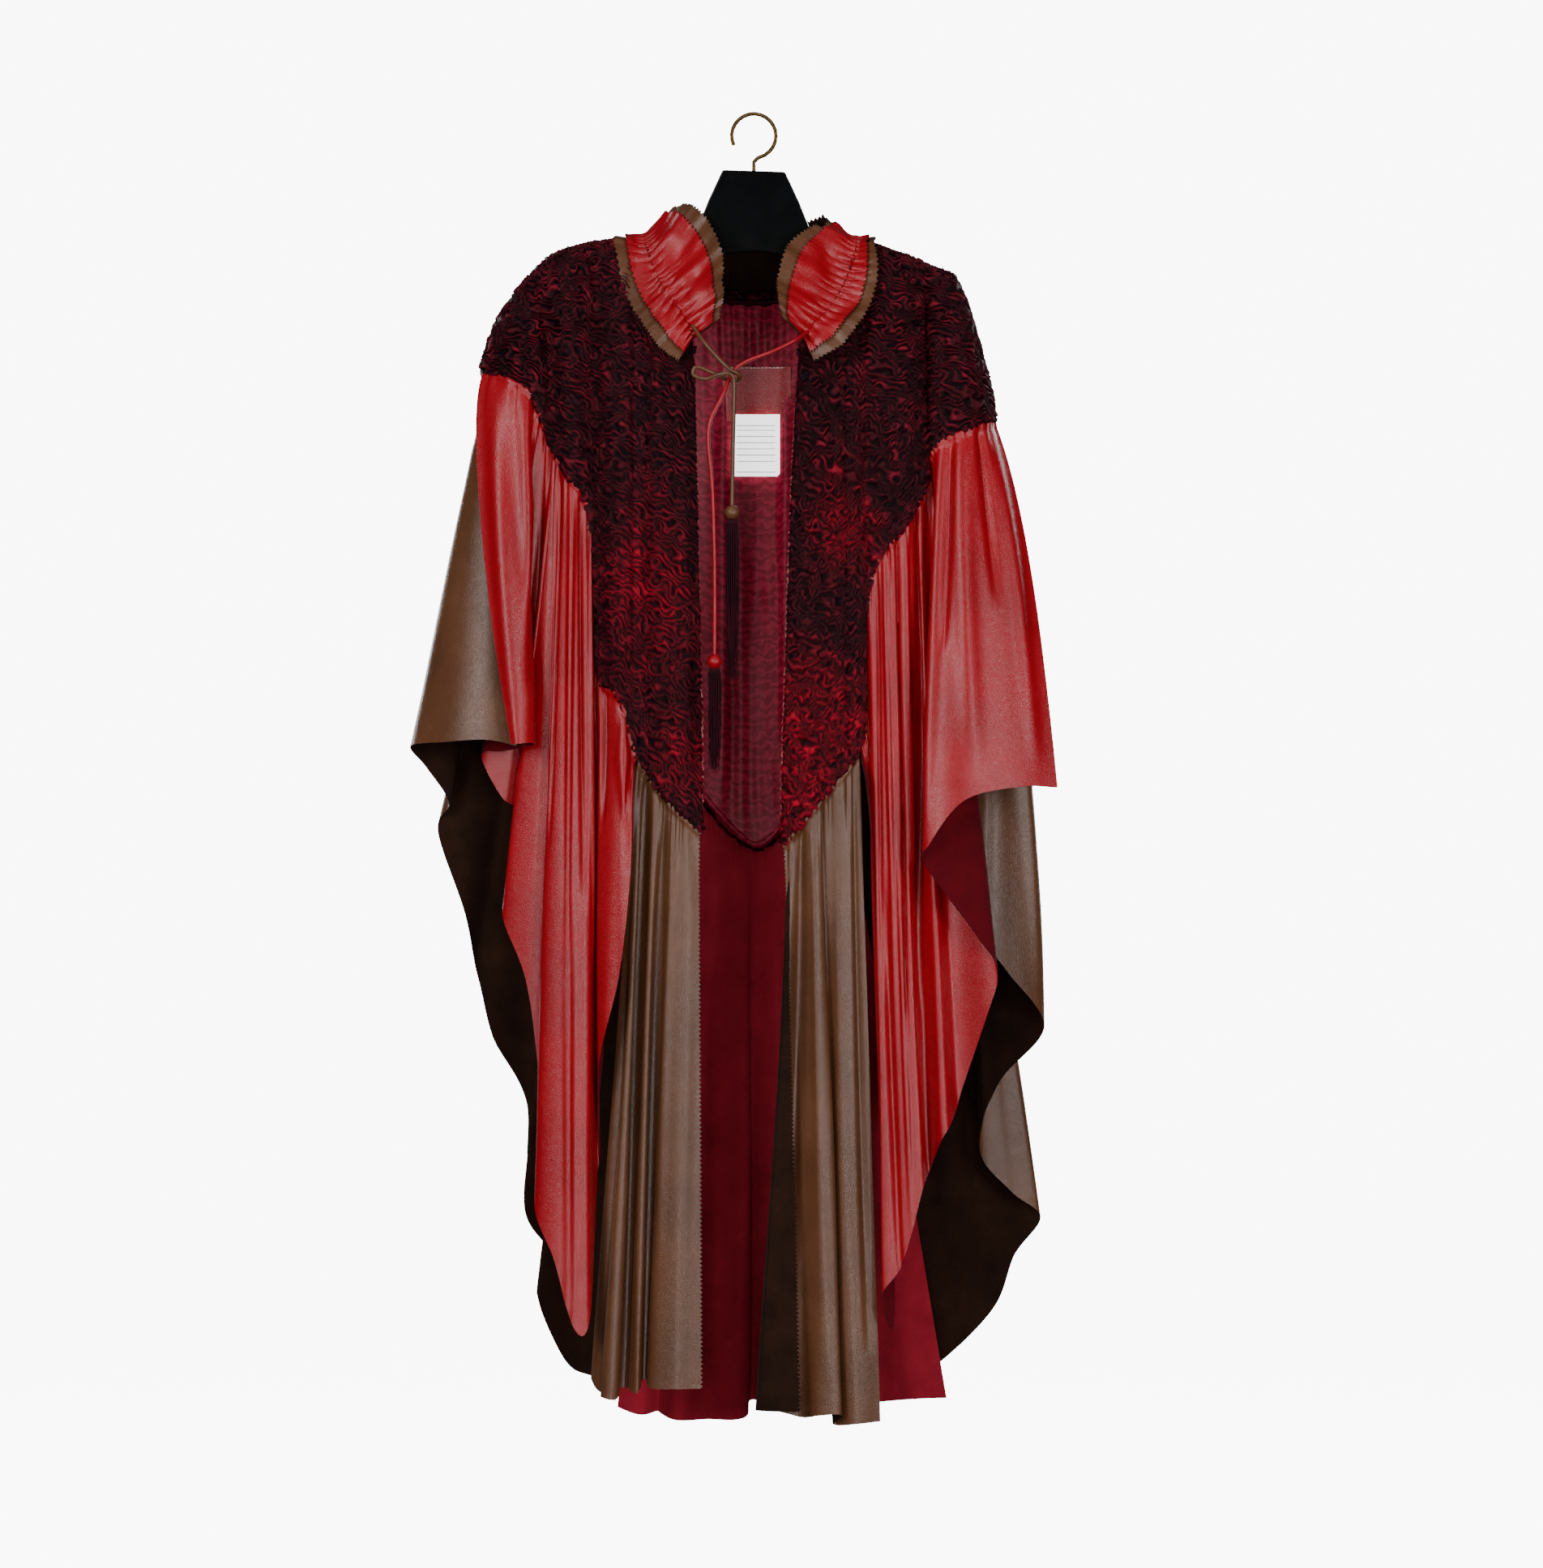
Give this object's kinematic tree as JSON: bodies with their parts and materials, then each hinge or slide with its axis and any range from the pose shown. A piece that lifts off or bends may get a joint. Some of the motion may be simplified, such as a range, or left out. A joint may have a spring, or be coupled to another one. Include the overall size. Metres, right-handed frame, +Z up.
{
  "type": "leather cape on a hanger",
  "caption": "Pointed leather cape of layered brown and red flounces on a curly lamb yoke, with a tied ruffled neck, on a black shop hanger.",
  "frame": {"origin": "inside top of the hook, where it rests on the rail", "axes": "+Z up along the hook's shank, +Y from the cape's front to its back, +X to the wearer's left"},
  "size_m": [0.6389, 0.2038, 1.3056],
  "materials": {
    "fur": "deep wine curls, tipped crimson",
    "red_leather": "semi-gloss red grain side, dull crimson flesh side",
    "brown_leather": "semi-gloss taupe brown grain side, very dark brown flesh side",
    "lining": "silky wine red",
    "label": "matt off-white",
    "black_gloss": "moulded, high gloss",
    "brass": "brass plated, polished"
  },
  "bodies": {
    "root": {"hook": "brass", "hanger": "black_gloss", "yoke_front_left": "fur", "yoke_front_right": "fur", "yoke_back": "fur", "flounce_red_front_left": "red_leather", "flounce_red_front_right": "red_leather", "flounce_brown_front_left": "brown_leather", "flounce_brown_front_right": "brown_leather", "flounce_brown_back_left": "brown_leather", "flounce_red_back": "red_leather", "flounce_brown_back_right": "brown_leather", "ruffle_red": "red_leather", "ruffle_brown": "brown_leather", "lining_back": "lining", "neck_facing": "red_leather", "label": "label", "tie_brown": "brown_leather", "tie_red": "red_leather", "bead_brown": "brown_leather", "bead_red": "red_leather", "tassel_brown": "lining", "tassel_red": "lining"}
  },
  "joints": []
}
